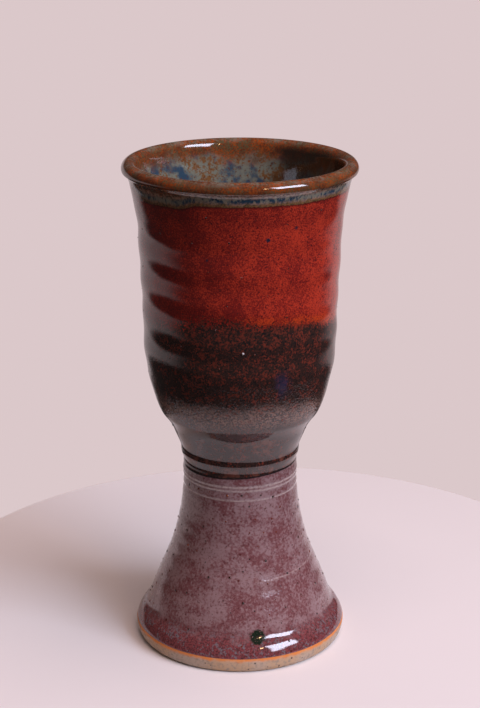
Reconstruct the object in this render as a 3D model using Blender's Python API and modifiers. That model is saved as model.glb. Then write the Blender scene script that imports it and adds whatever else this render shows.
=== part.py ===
"""Communion chalice: a thrown stoneware cup luted to a hollow thrown pedestal, under five coats of glaze.

Every piece is turned about +Z. The origin is the centre of the foot's resting face. Lengths below are in
millimetres and become metres when a section is turned.
"""

import math

import bpy
import numpy as np

MM = 0.001

# Driving dimensions
LIP_TOP = 180.0  # overall height
BEAD_RADIUS = 2.73  # the lip is a round bead
BEAD_CENTRE_RADIUS = 38.97
BEAD_CENTRE_HEIGHT = LIP_TOP - BEAD_RADIUS
BEAD_START = 190  # degrees round the bead, where it leaves the cup's inside; 0 faces out and 90 is the top
BEAD_END = -10  # where it meets the cup's outside
BEAD_POINTS = 9
GLAZE = 0.5  # thickness of every coat
GAP = 0.3  # clearance between pieces that touch
CLAY_DEPTH = GLAZE + GAP  # clay lies this far under the glazed surface
STEPS = 36  # facets round every turned piece; shared, so that gaps stay even
MERGE = 0.00001  # metres; the turned section's own ends close within this

# Heights where one coat ends and the next begins
GLAZE_LINE = 6.0  # bare clay below, pedestal glaze above
NECK_LINE = 67.5  # pedestal glaze below, dark glaze above
BELLY_LINE = 128.0  # dark glaze below, red glaze above
RIM_LINE = 171.0  # red glaze below, rim glaze above
LINER_LINE = 171.0  # inside the cup: liner glaze below, rim glaze above
OUTER_LINES = (GLAZE_LINE, NECK_LINE, BELLY_LINE, RIM_LINE)

# The luted joint: two bevelled edges meet at a ring of slip, and a coil fills the V between the bevels
JOINT_HEIGHT = 66.3
SLIP_THICKNESS = 0.6
JOINT_FACE_RADIUS = 17.5
STEM_BORE_RADIUS = 15.0
COLLAR_FOOT = 62.3
COLLAR_TOP = 70.3
COLLAR_INNER_RADIUS = 18.05
BEVEL_MARGIN = 0.6  # the bevels start this far beyond the coil

# The foot ring, bare clay
FOOT_RADIUS = 36.8
FOOT_BELLY_RADIUS = 39.3
FOOT_BELLY_HEIGHT = 5.3
FOOT_INNER_RADIUS = 33.4
FOOT_EDGE = 1.2  # easing of the ring's inner edge
FOOT_TURN = (0, 30, 60, 90)  # degrees round the ring's outer quarter, from its side to its resting face

# The glazed outside, from the glaze line up to the lip's bead, as (height, radius)
OUTSIDE = [
    (GLAZE_LINE, 39.2),
    (9.0, 36.95),
    (12.5, 34.9),
    (18.0, 32.75),
    (28.4, 28.5),
    (35.5, 25.7),
    (42.5, 23.7),
    (50.0, 22.15),
    (57.0, 21.3),
    (61.2, 20.8),
    (65.0, 21.15),
    (NECK_LINE, 20.9),
    (71.0, 21.3),
    (74.5, 21.95),
    (78.0, 23.0),
    (81.5, 24.5),
    (85.0, 26.4),
    (88.3, 28.9),
    (92.0, 30.4),
    (98.0, 32.3),
    (104.5, 34.0),
    (111.0, 34.75),
    (118.0, 34.95),
    (BELLY_LINE, 35.15),
    (140.0, 35.7),
    (151.0, 36.2),
    (160.0, 36.75),
    (166.0, 37.75),
    (RIM_LINE, 38.7),
    (173.7, 39.35),
    (175.4, 40.25),
]

# The glazed inside of the cup, from the bead's inner side down to the well
INSIDE = [
    (174.2, 35.1),
    (LINER_LINE, 33.9),
    (160.0, 31.75),
    (150.0, 31.15),
    (128.0, 30.15),
    (116.0, 29.7),
    (107.0, 28.7),
    (100.0, 26.8),
    (94.0, 23.8),
    (89.0, 19.6),
    (85.0, 14.2),
    (82.2, 7.6),
    (81.2, 0.0),
]

# The pedestal's bare inside, from the foot ring up to the joint
STEM_BORE = [
    (10.0, 30.4),
    (18.0, 27.2),
    (28.4, 22.9),
    (42.5, 18.2),
    (54.0, 16.0),
]

# colour, roughness
CLAY_FINISH = ((0.33, 0.24, 0.18), 0.85)
SLIP_FINISH = ((0.42, 0.32, 0.25), 0.9)
LINER_FINISH = ((0.2, 0.2, 0.15), 0.2)
RIM_FINISH = ((0.26, 0.1, 0.04), 0.18)
RED_FINISH = ((0.3, 0.025, 0.012), 0.18)
DARK_FINISH = ((0.035, 0.02, 0.018), 0.15)
PLUM_FINISH = ((0.16, 0.07, 0.08), 0.3)


def clear_scene():
    for item in list(bpy.data.objects):
        bpy.data.objects.remove(item)


def bead():
    """Points (radius, height) round the lip's bead, from the cup's inside over the top to its outside."""
    angles = np.radians(np.linspace(BEAD_START, BEAD_END, BEAD_POINTS))
    return [
        (BEAD_CENTRE_RADIUS + BEAD_RADIUS * math.cos(a), BEAD_CENTRE_HEIGHT + BEAD_RADIUS * math.sin(a))
        for a in angles
    ]


def with_heights(stations, extra_heights):
    """Adds stations on a smooth line through the given ones, at the extra heights."""
    heights = np.array([h for h, _ in stations])
    radii = np.array([r for _, r in stations])
    slopes = np.gradient(radii, heights)
    added = []
    for z in extra_heights:
        i = int(np.clip(np.searchsorted(heights, z) - 1, 0, len(heights) - 2))
        span = heights[i + 1] - heights[i]
        t = (z - heights[i]) / span
        rise = radii[i] * (2 * t**3 - 3 * t**2 + 1) + radii[i + 1] * (3 * t**2 - 2 * t**3)
        bend = span * (slopes[i] * (t**3 - 2 * t**2 + t) + slopes[i + 1] * (t**3 - t**2))
        added.append((z, float(rise + bend)))
    return sorted(stations + added)


def glazed_surface():
    """The whole glazed outline of cup and pedestal as (radius, height): from the well up, over the lip and down
    to the glaze line, so that the outer side runs downwards."""
    edges = []
    for line in OUTER_LINES:
        edges += [line - GAP / 2, line + GAP / 2]
    joint = [COLLAR_FOOT - BEVEL_MARGIN, COLLAR_FOOT, COLLAR_TOP, COLLAR_TOP + BEVEL_MARGIN]
    inside = with_heights(INSIDE[::-1], [LINER_LINE - GAP / 2, LINER_LINE + GAP / 2])
    outside = with_heights(OUTSIDE, sorted(edges + joint))
    up = [(r, z) for z, r in inside if z != LINER_LINE]
    down = [(r, z) for z, r in outside if z not in OUTER_LINES][::-1]
    return up + bead() + down


def sunk(surface, depth):
    """The surface moved inwards into the clay by depth, square to itself; a point on the axis stays there."""
    points = np.array(surface)
    along = np.gradient(points, axis=0)
    along /= np.linalg.norm(along, axis=1)[:, None]
    # Going up, the clay is on the outer side; going down, it is on the axis side: always to the right.
    into_clay = np.column_stack([along[:, 1], -along[:, 0]])
    moved = points + depth * into_clay
    moved[points[:, 0] == 0.0] = points[points[:, 0] == 0.0] - (0.0, depth)
    return [tuple(p) for p in moved]


def stretch(surface, depth, first, last):
    """The part of the sunk surface whose own indices run from first to last."""
    return sunk(surface, depth)[first : last + 1]


def find(surface, height, outer):
    """Index of the surface's point at that height, on the outer side or inside the cup."""
    top = max(range(len(surface)), key=lambda i: surface[i][1])
    indices = range(top, len(surface)) if outer else range(top)
    return min(indices, key=lambda i: abs(surface[i][1] - height))


def finished(name, finish):
    """A material of that name: the clay's or the glaze's own colour and roughness."""
    colour, roughness = finish
    material = bpy.data.materials.new(name)
    material.use_nodes = True
    shader = material.node_tree.nodes["Principled BSDF"]
    shader.inputs["Base Color"].default_value = (*colour, 1.0)
    shader.inputs["Roughness"].default_value = roughness
    shader.inputs["Metallic"].default_value = 0.0
    material.diffuse_color = (*colour, 1.0)
    return material


def turn(name, section, closed, finish, collection):
    """A piece turned on the wheel: its section, in the plane of +X and +Z, screwed one full turn about Z."""
    points = [(r * MM, 0.0, z * MM) for r, z in section]
    edges = [(i, i + 1) for i in range(len(points) - 1)]
    if closed:
        edges.append((len(points) - 1, 0))
    mesh = bpy.data.meshes.new(name)
    mesh.from_pydata(points, edges, [])
    piece = bpy.data.objects.new(name, mesh)
    collection.objects.link(piece)
    screw = piece.modifiers.new("wheel", "SCREW")
    screw.axis = "Z"
    screw.steps = STEPS
    screw.render_steps = STEPS
    screw.use_merge_vertices = True
    screw.merge_threshold = MERGE
    screw.use_smooth_shade = True
    mesh.materials.append(finished(name, finish))
    return piece


def coat(name, surface, first, last, finish, collection):
    """A coat of glaze over the surface from first to last: its outer face, then back along its inner face."""
    face = surface[first : last + 1]
    back = stretch(surface, GLAZE, first, last)[::-1]
    # A coat that covers the well has an open section, with both its ends on the axis.
    on_axis = face[0][0] == 0.0
    turn(name, face + back, not on_axis, finish, collection)


def make_coats(surface, collection):
    """The five coats, each ending half a gap short of the next one's line."""
    half_gap = GAP / 2
    liner_top = find(surface, LINER_LINE - half_gap, outer=False)
    rim_inside = find(surface, LINER_LINE + half_gap, outer=False)
    rim_outside = find(surface, RIM_LINE + half_gap, outer=True)
    coat("liner_glaze", surface, 0, liner_top, LINER_FINISH, collection)
    coat("rim_glaze", surface, rim_inside, rim_outside, RIM_FINISH, collection)
    bands = [
        ("red_glaze", RIM_LINE, BELLY_LINE, RED_FINISH),
        ("dark_glaze", BELLY_LINE, NECK_LINE, DARK_FINISH),
        ("pedestal_glaze", NECK_LINE, GLAZE_LINE, PLUM_FINISH),
    ]
    for name, top, foot, finish in bands:
        first = find(surface, top - half_gap, outer=True)
        last = find(surface, foot + half_gap, outer=True)
        coat(name, surface, first, last, finish, collection)


def make_bowl(surface, collection):
    """The cup: clay under the glaze from the well, over the lip and down to the bevel, then its flat foot."""
    last = find(surface, COLLAR_TOP + BEVEL_MARGIN, outer=True)
    foot_height = JOINT_HEIGHT + SLIP_THICKNESS / 2 + GAP
    section = stretch(surface, CLAY_DEPTH, 0, last)
    section += [(JOINT_FACE_RADIUS, foot_height), (0.0, foot_height)]
    turn("bowl", section, False, CLAY_FINISH, collection)


def make_pedestal(surface, collection):
    """The pedestal: up its bore, over the joint face, down the bevel and the glazed side to the bare foot."""
    top_height = JOINT_HEIGHT - SLIP_THICKNESS / 2 - GAP
    first = find(surface, COLLAR_FOOT - BEVEL_MARGIN, outer=True)
    last = find(surface, GLAZE_LINE - GAP / 2, outer=True)
    bore = [(FOOT_INNER_RADIUS, 0.0), (FOOT_INNER_RADIUS - FOOT_EDGE, FOOT_EDGE)]
    bore += [(r, z) for z, r in STEM_BORE]
    bore += [(STEM_BORE_RADIUS, top_height), (JOINT_FACE_RADIUS, top_height)]
    glazed_side = stretch(surface, CLAY_DEPTH, first, last)
    foot = []
    for degrees in FOOT_TURN:
        turned = math.radians(degrees)
        foot.append(
            (
                FOOT_RADIUS + (FOOT_BELLY_RADIUS - FOOT_RADIUS) * math.cos(turned),
                FOOT_BELLY_HEIGHT * (1 - math.sin(turned)),
            )
        )
    turn("pedestal", bore + glazed_side + foot, True, CLAY_FINISH, collection)


def make_joint(surface, collection):
    """The ring of slip between the two joint faces, and the coil that fills the V round it."""
    low = JOINT_HEIGHT - SLIP_THICKNESS / 2
    high = JOINT_HEIGHT + SLIP_THICKNESS / 2
    inner = STEM_BORE_RADIUS + GAP
    outer = JOINT_FACE_RADIUS - GAP / 2
    slip = [(inner, low), (inner, high), (outer, high), (outer, low)]
    turn("joint_slip", slip, True, SLIP_FINISH, collection)
    first = find(surface, COLLAR_TOP, outer=True)
    last = find(surface, COLLAR_FOOT, outer=True)
    coil = stretch(surface, CLAY_DEPTH, first, last)
    coil += [(COLLAR_INNER_RADIUS, low - GAP / 2), (COLLAR_INNER_RADIUS, high + GAP / 2)]
    turn("joint_collar", coil, True, CLAY_FINISH, collection)


def make_chalice():
    clear_scene()
    chalice = bpy.data.collections.new("chalice")
    bpy.context.scene.collection.children.link(chalice)
    surface = glazed_surface()
    make_bowl(surface, chalice)
    make_pedestal(surface, chalice)
    make_joint(surface, chalice)
    make_coats(surface, chalice)


make_chalice()
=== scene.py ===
"""The looks of the communion chalice: a stoneware cup luted to a hollow pedestal, under layered glazes.

Sizes and places are millimetres from the centre of the foot, unless a comment says otherwise.
MM makes them metres.
"""

import math

import bpy
import numpy as np
from mathutils import Matrix, Vector


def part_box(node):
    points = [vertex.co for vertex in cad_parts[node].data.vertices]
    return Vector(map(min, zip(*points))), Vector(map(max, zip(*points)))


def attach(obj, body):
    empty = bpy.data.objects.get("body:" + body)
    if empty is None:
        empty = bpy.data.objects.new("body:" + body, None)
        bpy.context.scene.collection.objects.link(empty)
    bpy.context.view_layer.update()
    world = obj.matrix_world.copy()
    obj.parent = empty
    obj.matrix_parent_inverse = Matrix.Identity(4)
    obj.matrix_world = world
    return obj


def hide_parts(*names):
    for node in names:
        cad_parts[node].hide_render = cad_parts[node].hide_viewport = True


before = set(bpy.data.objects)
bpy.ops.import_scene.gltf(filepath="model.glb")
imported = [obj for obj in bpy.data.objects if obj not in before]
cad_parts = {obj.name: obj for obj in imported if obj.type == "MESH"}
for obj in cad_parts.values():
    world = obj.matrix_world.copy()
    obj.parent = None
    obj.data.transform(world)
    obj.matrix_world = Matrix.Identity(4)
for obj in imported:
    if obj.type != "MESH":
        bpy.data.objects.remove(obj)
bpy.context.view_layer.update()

# --------------------------------------------------------------------------------------------------
# The cup. Iron-bearing stoneware thrown on the wheel in one piece with its beaded lip, so it is one line
# turned about the axis, with the soft rings that fingers leave. Its flat foot is bevelled for the joint.
# --------------------------------------------------------------------------------------------------

MM = 0.001
LIP_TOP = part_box("rim_glaze")[1].z / MM
BEAD_RADIUS = 2.73
BEAD_CENTRE_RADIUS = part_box("rim_glaze")[1].x / MM - BEAD_RADIUS
BEAD_CENTRE_HEIGHT = LIP_TOP - BEAD_RADIUS
BEAD_START = 165  # degrees round the bead: 0 faces out, 90 is the top
BEAD_END = -20
BEAD_STEP = -10
CLAY_DEPTH = 0.8  # the clay lies this far under the glazed surface
CLAY_SPACING = 0.9  # along the clay's line, where the glaze hides it
FOOT_OF_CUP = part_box("bowl")[0].z / MM
JOINT_FACE_RADIUS = 17.5
BEVEL_TOP = 70.9  # the bevel for the coil starts here

# The glazed line as (radius, height): inside the cup from the well up, then outside from under the lip down.
CUP_INSIDE = [
    (0.0, 81.2), (7.6, 82.2), (14.2, 85.0), (19.6, 89.0), (23.8, 94.0), (26.8, 100.0), (28.7, 107.0),
    (29.7, 116.0), (30.15, 128.0), (31.1, 148.0), (32.6, 160.0), (33.53, 165.0), (34.54, 170.2),
    (35.48, 174.6),
]
CUP_OUTSIDE = [
    (40.2, 175.4), (39.3, 173.7), (38.65, 171.0), (37.7, 166.0), (36.7, 160.0), (36.2, 151.0), (35.7, 140.0),
    (35.15, 128.0), (35.0, 119.0), (34.65, 111.0), (33.8, 104.5), (32.2, 98.0), (30.9, 93.5), (29.7, 90.2),
    (28.75, 88.3), (27.6, 86.8), (26.3, 85.0), (25.0, 82.7), (24.3, 81.0), (23.3, 78.6), (22.55, 76.8),
    (22.0, 75.2), (21.87, 74.2), (21.86, 73.2), (21.7, 72.3), (21.33, 71.2), (21.0, 70.2), (20.93, 69.3),
    (20.98, 68.4),
]
# The pedestal carries the line on from the neck to where its glaze ends above the bare foot.
PEDESTAL_OUTSIDE = [
    (20.95, 67.2), (21.15, 65.9), (21.12, 65.0), (20.93, 64.3), (21.06, 63.7), (20.84, 63.0), (20.9, 61.7),
    (21.05, 60.3), (20.93, 59.6), (21.22, 57.6), (22.15, 50.0), (23.7, 42.5), (25.7, 35.5), (28.5, 28.4),
    (32.7, 18.0), (33.75, 14.9), (34.15, 13.7), (34.45, 12.9), (35.25, 11.6), (36.1, 10.7), (37.1, 9.6),
    (38.1, 8.0), (38.6, 7.0), (38.95, 6.0),
]
# Finger rings: between which heights they show, how far apart they are, and how deep.
CUP_RINGS = (93.0, 169.0, 12.5, 0.3)

# The wheel's other marks, for the whole pot
FACETS_ROUND = 360
RING_WANDER = 0.4  # in turns
OUT_OF_ROUND = 0.12
RIPPLE = 0.1
THROWING_SEED = 7.0
SHARP_DEGREES = 50

CLAY_BODY = (0.46, 0.355, 0.28)
CLAY_WARM = (0.50, 0.32, 0.19)
CLAY_GREY = (0.29, 0.23, 0.18)
IRON_SPECK = (0.06, 0.035, 0.025)


def bead():
    """Points round the lip's bead, from the cup's inside over the top to the outside."""
    turned = np.radians(np.arange(BEAD_START, BEAD_END, BEAD_STEP))
    radii = BEAD_CENTRE_RADIUS + BEAD_RADIUS * np.cos(turned)
    return list(zip(radii, BEAD_CENTRE_HEIGHT + BEAD_RADIUS * np.sin(turned)))


def smooth(points, spacing):
    """A smooth line through the points, with a point about every spacing along it."""
    points = np.array(points, float)
    along = np.concatenate([[0.0], np.cumsum(np.linalg.norm(np.diff(points, axis=0), axis=1))])
    slope = np.gradient(points, along, axis=0)
    at = np.linspace(0.0, along[-1], round(along[-1] / spacing) + 1)
    i = np.clip(np.searchsorted(along, at) - 1, 0, len(along) - 2)
    span = (along[i + 1] - along[i])[:, None]
    t = (at - along[i])[:, None] / span
    ends = points[i] * (2 * t**3 - 3 * t**2 + 1) + points[i + 1] * (3 * t**2 - 2 * t**3)
    return ends + span * (slope[i] * (t**3 - 2 * t**2 + t) + slope[i + 1] * (t**3 - t**2))


def between(line, low, high):
    """The stretch of a line between two heights, cut exactly there, running the way the line does."""
    rises = line[-1, 1] > line[0, 1]
    line = line if rises else line[::-1]
    inner = line[(line[:, 1] > low) & (line[:, 1] < high)]
    ends = [(np.interp(height, line[:, 1], line[:, 0]), height) for height in (low, high)]
    cut = np.vstack([ends[0], inner, ends[1]])
    return cut if rises else cut[::-1]


def sunk(line, depth):
    """The line moved depth into the clay, which lies on its right-hand side; the axis stays the axis."""
    along = np.gradient(line, axis=0)
    along /= np.linalg.norm(along, axis=1)[:, None]
    moved = line + depth * np.column_stack([along[:, 1], -along[:, 0]])
    on_axis = line[:, 0] < 1e-6
    moved[on_axis] = line[on_axis] - (0.0, depth)
    return moved


def node(tree, kind, inputs, **settings):
    """Adds a node, makes its settings, and links or fills its inputs, which go by name or by number."""
    made = tree.nodes.new(kind)
    for name, value in settings.items():
        setattr(made, name, value)
    for name, value in inputs.items():
        if isinstance(value, bpy.types.NodeSocket):
            tree.links.new(value, made.inputs[name])
        else:
            made.inputs[name].default_value = value
    return made


def sums(tree, operation, *values):
    """One step of arithmetic on numbers."""
    return node(tree, "ShaderNodeMath", dict(enumerate(values)), operation=operation).outputs[0]


def ask(tree, kind, name, start=None):
    """Gives a Geometry Nodes tree a named input."""
    socket = tree.interface.new_socket(name, in_out="INPUT", socket_type="NodeSocket" + kind)
    if start is not None:
        socket.default_value = start


def thrown_wall_tree():
    """Turns a section about the axis and lets the wheel's marks into it. Every mark goes towards the axis."""
    tree = bpy.data.node_groups.new("thrown_wall", "GeometryNodeTree")
    ask(tree, "Geometry", "Section")
    ask(tree, "Int", "Facets Round", FACETS_ROUND)
    ask(tree, "Float", "Ring Wander", RING_WANDER)
    ask(tree, "Float", "Out Of Round", OUT_OF_ROUND * MM)
    ask(tree, "Float", "Ripple", RIPPLE * MM)
    ask(tree, "Float", "Seed", THROWING_SEED)
    ask(tree, "Material", "Material")
    tree.interface.new_socket("Wall", in_out="OUTPUT", socket_type="NodeSocketGeometry")
    given = tree.nodes.new("NodeGroupInput").outputs
    section = given["Section"]

    # A flat sheet with a row for each point of the section and a column for each facet
    count = node(tree, "GeometryNodeAttributeDomainSize", {"Geometry": section}, component="MESH")
    rows = count.outputs["Point Count"]
    columns = sums(tree, "ADD", given["Facets Round"], 1.0)
    sheet = node(tree, "GeometryNodeMeshGrid", {"Vertices X": columns, "Vertices Y": rows}).outputs
    on_sheet = node(tree, "ShaderNodeSeparateXYZ", {0: sheet["UV Map"]}).outputs
    turn = on_sheet["X"]
    row = sums(tree, "ROUND", sums(tree, "MULTIPLY", on_sheet["Y"], sums(tree, "SUBTRACT", rows, 1.0)))
    angle = sums(tree, "MULTIPLY", turn, math.tau)

    def from_section(data_type, value):
        inputs = {"Geometry": section, "Value": value, "Index": row}
        return node(tree, "GeometryNodeSampleIndex", inputs, data_type=data_type, domain="POINT").outputs[0]

    def mark(name):
        wanted = node(tree, "GeometryNodeInputNamedAttribute", {"Name": name}).outputs["Attribute"]
        return from_section("FLOAT", wanted)

    place = from_section("FLOAT_VECTOR", tree.nodes.new("GeometryNodeInputPosition").outputs[0])
    place = node(tree, "ShaderNodeSeparateXYZ", {0: place}).outputs

    def turned(radius):
        across = sums(tree, "MULTIPLY", radius, sums(tree, "COSINE", angle))
        deep = sums(tree, "MULTIPLY", radius, sums(tree, "SINE", angle))
        return node(tree, "ShaderNodeCombineXYZ", {"X": across, "Y": deep, "Z": place["Z"]}).outputs[0]

    def waves(scale):
        inputs = {"Vector": turned(place["X"]), "W": given["Seed"], "Scale": scale, "Detail": 1.0}
        return node(tree, "ShaderNodeTexNoise", inputs, noise_dimensions="4D").outputs[0]

    # The rings climb one pitch in a turn, as a spiral, and wander as the hand does
    turns = sums(tree, "ADD", mark("ring_count"), turn)
    turns = sums(tree, "MULTIPLY_ADD", waves(35.0), given["Ring Wander"], turns)
    ring = sums(tree, "MULTIPLY_ADD", sums(tree, "SINE", sums(tree, "MULTIPLY", turns, math.tau)), 0.5, 0.5)
    inwards = sums(tree, "MULTIPLY", ring, mark("ring_depth"))
    twice_round = sums(tree, "MULTIPLY_ADD", angle, 2.0, 0.8)
    oval = sums(tree, "MULTIPLY_ADD", sums(tree, "COSINE", twice_round), 0.5, 0.5)
    inwards = sums(tree, "MULTIPLY_ADD", oval, given["Out Of Round"], inwards)
    inwards = sums(tree, "MULTIPLY_ADD", waves(110.0), given["Ripple"], inwards)
    off_axis = sums(tree, "MINIMUM", sums(tree, "MULTIPLY", place["X"], 100.0), 1.0)
    radius = sums(tree, "SUBTRACT", place["X"], sums(tree, "MULTIPLY", inwards, off_axis))

    wall = node(tree, "GeometryNodeSetPosition", {"Geometry": sheet["Mesh"], "Position": turned(radius)})
    wall = node(tree, "GeometryNodeMergeByDistance", {0: wall.outputs[0], "Distance": 0.004 * MM})
    wall = node(tree, "GeometryNodeFlipFaces", {0: wall.outputs[0]})
    wall = node(tree, "GeometryNodeSetShadeSmooth", {0: wall.outputs[0]})
    wall = node(tree, "GeometryNodeRealizeInstances", {0: wall.outputs[0]})
    wall = node(tree, "GeometryNodeSetMaterial", {0: wall.outputs[0], "Material": given["Material"]})
    node(tree, "NodeGroupOutput", {0: wall.outputs[0]})
    return tree


def made_plain(tree, name, start_mesh, **inputs):
    """Runs a Geometry Nodes tree on a mesh and keeps what it makes as a plain mesh of that name."""
    start = bpy.data.objects.new(name + "_start", start_mesh)
    bpy.context.scene.collection.objects.link(start)
    nodes = start.modifiers.new("nodes", "NODES")
    nodes.node_group = tree
    for socket in tree.interface.items_tree:
        if socket.name in inputs:
            nodes[socket.identifier] = inputs[socket.name]
    graph = bpy.context.evaluated_depsgraph_get()
    mesh = bpy.data.meshes.new_from_object(start.evaluated_get(graph))
    bpy.data.objects.remove(start)
    mesh.name = name
    mesh.set_sharp_from_angle(angle=math.radians(SHARP_DEGREES))
    piece = bpy.data.objects.new(name, mesh)
    bpy.context.scene.collection.objects.link(piece)
    return piece


thrown_wall = thrown_wall_tree()


def thrown(name, section, rings, material, **changes):
    """A piece turned on the wheel from its section, with finger rings pressed into it."""
    low, high, pitch, depth = rings
    heights = section[:, 1]
    inside = np.clip((heights - low) / pitch, 0, 1) * np.clip((high - heights) / pitch, 0, 1)
    mesh = bpy.data.meshes.new(name + "_section")
    edges = [(i, i + 1) for i in range(len(section) - 1)]
    mesh.from_pydata([(radius * MM, 0.0, height * MM) for radius, height in section], edges, [])
    marks = {"ring_depth": depth * MM * inside, "ring_count": heights / pitch}
    for mark, values in marks.items():
        mesh.attributes.new(mark, "FLOAT", "POINT").data.foreach_set("value", values.astype(np.float32))
    return made_plain(thrown_wall, name, mesh, Material=material, **changes)


def millimetres(tree):
    """The place on the pot in millimetres."""
    place = tree.nodes.new("ShaderNodeTexCoord").outputs["Object"]
    return node(tree, "ShaderNodeVectorMath", {0: place, "Scale": 1 / MM}, operation="SCALE").outputs[0]


def cloud(tree, where, size, seed, detail=2.0):
    """Soft values round 0.5, with lumps about size across."""
    inputs = {"Vector": where, "W": seed, "Scale": 1 / size, "Detail": detail}
    return node(tree, "ShaderNodeTexNoise", inputs, noise_dimensions="4D").outputs[0]


def rise(tree, value, low, high):
    """0 below low and 1 above high, with a smooth climb between; low above high makes it fall."""
    inputs = {"Value": value, "From Min": low, "From Max": high}
    return node(tree, "ShaderNodeMapRange", inputs, interpolation_type="SMOOTHSTEP").outputs[0]


def blend(tree, share, under, over):
    """One colour over another by share."""
    colours = [c if isinstance(c, bpy.types.NodeSocket) else (*c, 1.0) for c in (under, over)]
    made = node(tree, "ShaderNodeMix", {0: share, 6: colours[0], 7: colours[1]}, data_type="RGBA")
    return made.outputs[2]


def dots(tree, where, spacing, radius, softness, seed):
    """1 within scattered round dots of every size up to the radius, 0 between them."""
    moved = node(tree, "ShaderNodeVectorMath", {0: where, 1: (seed, seed, seed)}, operation="ADD").outputs[0]
    cells = node(tree, "ShaderNodeTexVoronoi", {"Vector": moved, "Scale": 1 / spacing}).outputs
    chance = node(tree, "ShaderNodeSeparateColor", {0: cells["Color"]}).outputs["Red"]
    away = sums(tree, "MULTIPLY", cells["Distance"], -1.0)
    room = sums(tree, "MULTIPLY_ADD", chance, radius / spacing, away)
    return node(tree, "ShaderNodeClamp", {0: sums(tree, "MULTIPLY", room, spacing / softness)}).outputs[0]


def new_material(name):
    """A material with nodes: itself, its tree and its shader."""
    material = bpy.data.materials.new(name)
    material.use_nodes = True
    return material, material.node_tree, material.node_tree.nodes["Principled BSDF"]


def finish_surface(tree, shader, colour, roughness, height):
    """Feeds a shader its colour, its roughness and its relief, which is in millimetres."""
    relief = node(tree, "ShaderNodeBump", {"Strength": 1.0, "Distance": MM, "Height": height}).outputs[0]
    for name, value in (("Base Color", colour), ("Roughness", roughness), ("Normal", relief)):
        tree.links.new(value, shader.inputs[name])


def clay_material(name, body, warm, grey, speck):
    """Bare fired stoneware: grainy and matt, warmer and greyer in patches, with specks of iron."""
    material, tree, shader = new_material(name)
    where = millimetres(tree)
    colour = blend(tree, rise(tree, cloud(tree, where, 14.0, 1.0), 0.35, 0.65), body, warm)
    colour = blend(tree, rise(tree, cloud(tree, where, 1.1, 2.0), 0.45, 0.75), colour, grey)
    colour = blend(tree, dots(tree, where, 2.2, 0.55, 0.15, 3.0), colour, speck)
    grain = cloud(tree, where, 0.45, 4.0, detail=4.0)
    roughness = sums(tree, "MULTIPLY_ADD", grain, 0.2, 0.68)
    finish_surface(tree, shader, colour, roughness, sums(tree, "MULTIPLY", grain, 0.09))
    return material


thrown_line = CUP_INSIDE + bead() + CUP_OUTSIDE + PEDESTAL_OUTSIDE
hidden_line = smooth(thrown_line, CLAY_SPACING)
hidden_top = int(hidden_line[:, 1].argmax())
clay_stretch = np.vstack([hidden_line[:hidden_top], between(hidden_line[hidden_top:], BEVEL_TOP, LIP_TOP)])
flat_foot = [(JOINT_FACE_RADIUS, FOOT_OF_CUP), (0.0, FOOT_OF_CUP)]
cup_section = np.vstack([sunk(clay_stretch, CLAY_DEPTH), flat_foot])
stoneware = clay_material("fired_stoneware", CLAY_BODY, CLAY_WARM, CLAY_GREY, IRON_SPECK)
cup = thrown("thrown_cup", cup_section, CUP_RINGS, stoneware)
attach(cup, "root")
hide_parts("bowl")

# --------------------------------------------------------------------------------------------------
# The pedestal. The same stoneware thrown as a hollow flared stem. Its foot ring is wiped bare of glaze so
# that it can't stick to the kiln shelf, and the clay is flashed orange where the glaze stops.
# --------------------------------------------------------------------------------------------------

GLAZE_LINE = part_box("pedestal_glaze")[0].z / MM
PEDESTAL_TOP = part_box("pedestal")[1].z / MM
STEM_BORE_RADIUS = 15.0
BORE_SPACING = 1.2  # along the bore's line
BEVEL_FOOT = 61.7
FOOT_RADIUS = 36.8
FOOT_BELLY_RADIUS = 39.15
FOOT_BELLY_HEIGHT = 5.2
FOOT_INNER_RADIUS = 33.4
FOOT_EDGE = 1.2
STEM_BORE = [
    (30.4, 10.0), (27.2, 18.0), (22.9, 28.4), (18.2, 42.5), (16.0, 54.0), (STEM_BORE_RADIUS, PEDESTAL_TOP),
]
SHOULDER_RADIUS = 38.9  # a narrow ledge of clay that the glaze ends on
PEDESTAL_RINGS = (14.0, 57.0, 5.2, 0.09)
FLASHING = (0.64, 0.20, 0.04)
FLASHING_FADE = 1.7  # the orange fades out this far below the glaze


def strayed(tree, value, where, size, seed, reach, detail=2.0):
    """The value, moved up and down in soft lumps by up to about half the reach."""
    lumps = cloud(tree, where, size, seed, detail)
    return sums(tree, "MULTIPLY_ADD", lumps, reach, sums(tree, "SUBTRACT", value, reach / 2))


def foot_ring():
    """The rounded outer side of the foot, from the glaze down to the resting face."""
    quarter = np.radians(np.arange(0, 91, 9))
    radii = FOOT_RADIUS + (FOOT_BELLY_RADIUS - FOOT_RADIUS) * np.cos(quarter)
    return np.column_stack([radii, FOOT_BELLY_HEIGHT * (1 - np.sin(quarter))])


def foot_clay_material():
    """The clay of the pedestal, with the orange flashing that runs round it under the glaze."""
    material = clay_material("flashed_stoneware", CLAY_BODY, CLAY_WARM, CLAY_GREY, IRON_SPECK)
    tree = material.node_tree
    shader = tree.nodes["Principled BSDF"]
    where = millimetres(tree)
    height = node(tree, "ShaderNodeSeparateXYZ", {0: where}).outputs["Z"]
    height = strayed(tree, height, where, 2.5, 5.0, 2.4)
    flashed = rise(tree, height, GLAZE_LINE - FLASHING_FADE, GLAZE_LINE - 0.2)
    plain = shader.inputs["Base Color"].links[0].from_socket
    tree.links.new(blend(tree, flashed, plain, FLASHING), shader.inputs["Base Color"])
    return material


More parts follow.
